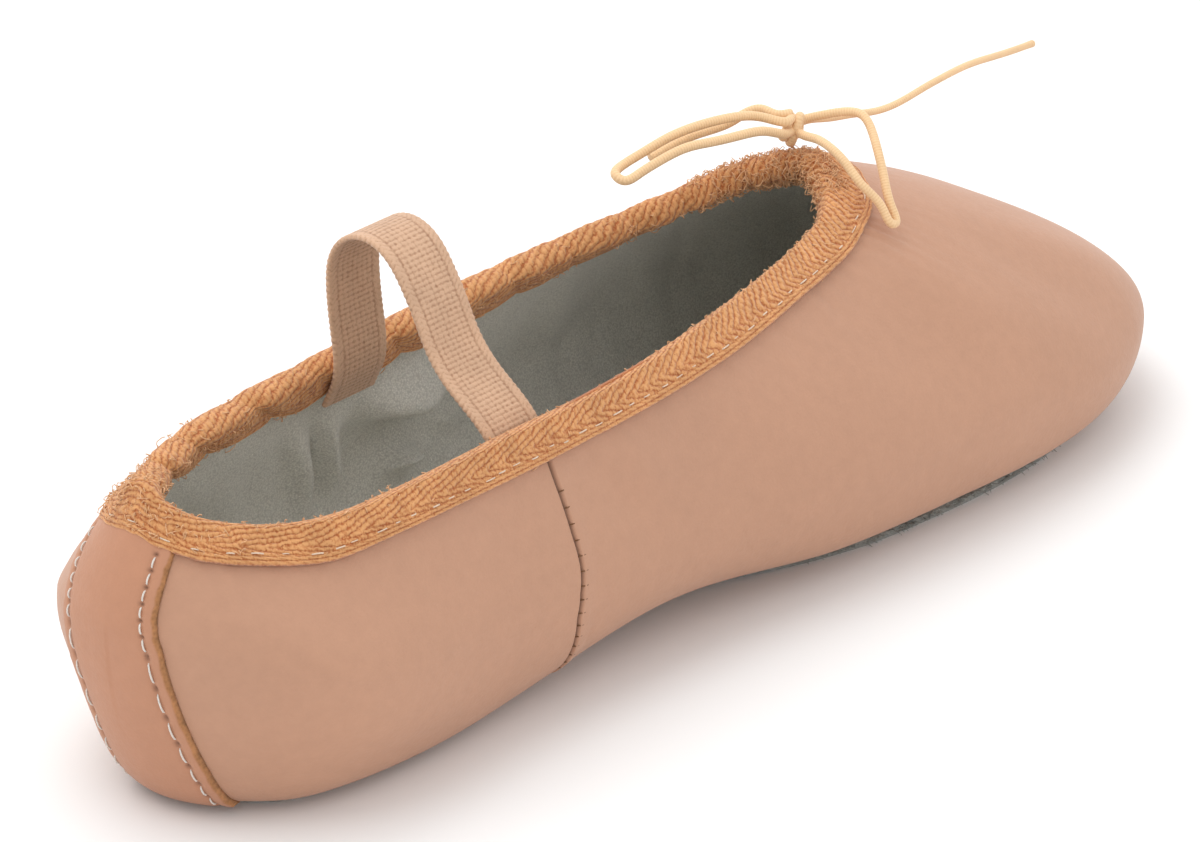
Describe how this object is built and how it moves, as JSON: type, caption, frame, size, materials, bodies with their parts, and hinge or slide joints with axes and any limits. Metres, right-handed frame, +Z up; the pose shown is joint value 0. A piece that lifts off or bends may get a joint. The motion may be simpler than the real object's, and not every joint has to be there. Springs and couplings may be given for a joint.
{
  "type": "leather ballet slipper",
  "caption": "Soft leather ballet slipper with a heel strip, taped and gathered collar, elastic instep strap, drawstring bow and suede sole.",
  "frame": {"origin": "on the ground under the middle of the shoe", "axes": "+Z up, +Y from the toe towards the heel, +X towards the wearer's left"},
  "size_m": [0.0822, 0.2411, 0.0746],
  "materials": {
    "leather": "smooth, softly worn",
    "strip_leather": "smooth, a little darker",
    "binding_tape": "gathered twill cotton tape",
    "strap_elastic": "ribbed flat elastic",
    "bow_cord": "round covered elastic cord",
    "sole_suede": "grey suede, matt",
    "insole_lining": "grey cotton knit"
  },
  "bodies": {
    "root": {"upper": "leather", "heel_strip": "strip_leather", "collar_binding": "binding_tape", "instep_strap": "strap_elastic", "bow_knot": "bow_cord", "bow_loop_back": "bow_cord", "bow_end_back": "bow_cord", "bow_loop_front": "bow_cord", "bow_end_front": "bow_cord", "outsole": "sole_suede", "insole": "insole_lining"}
  },
  "joints": []
}
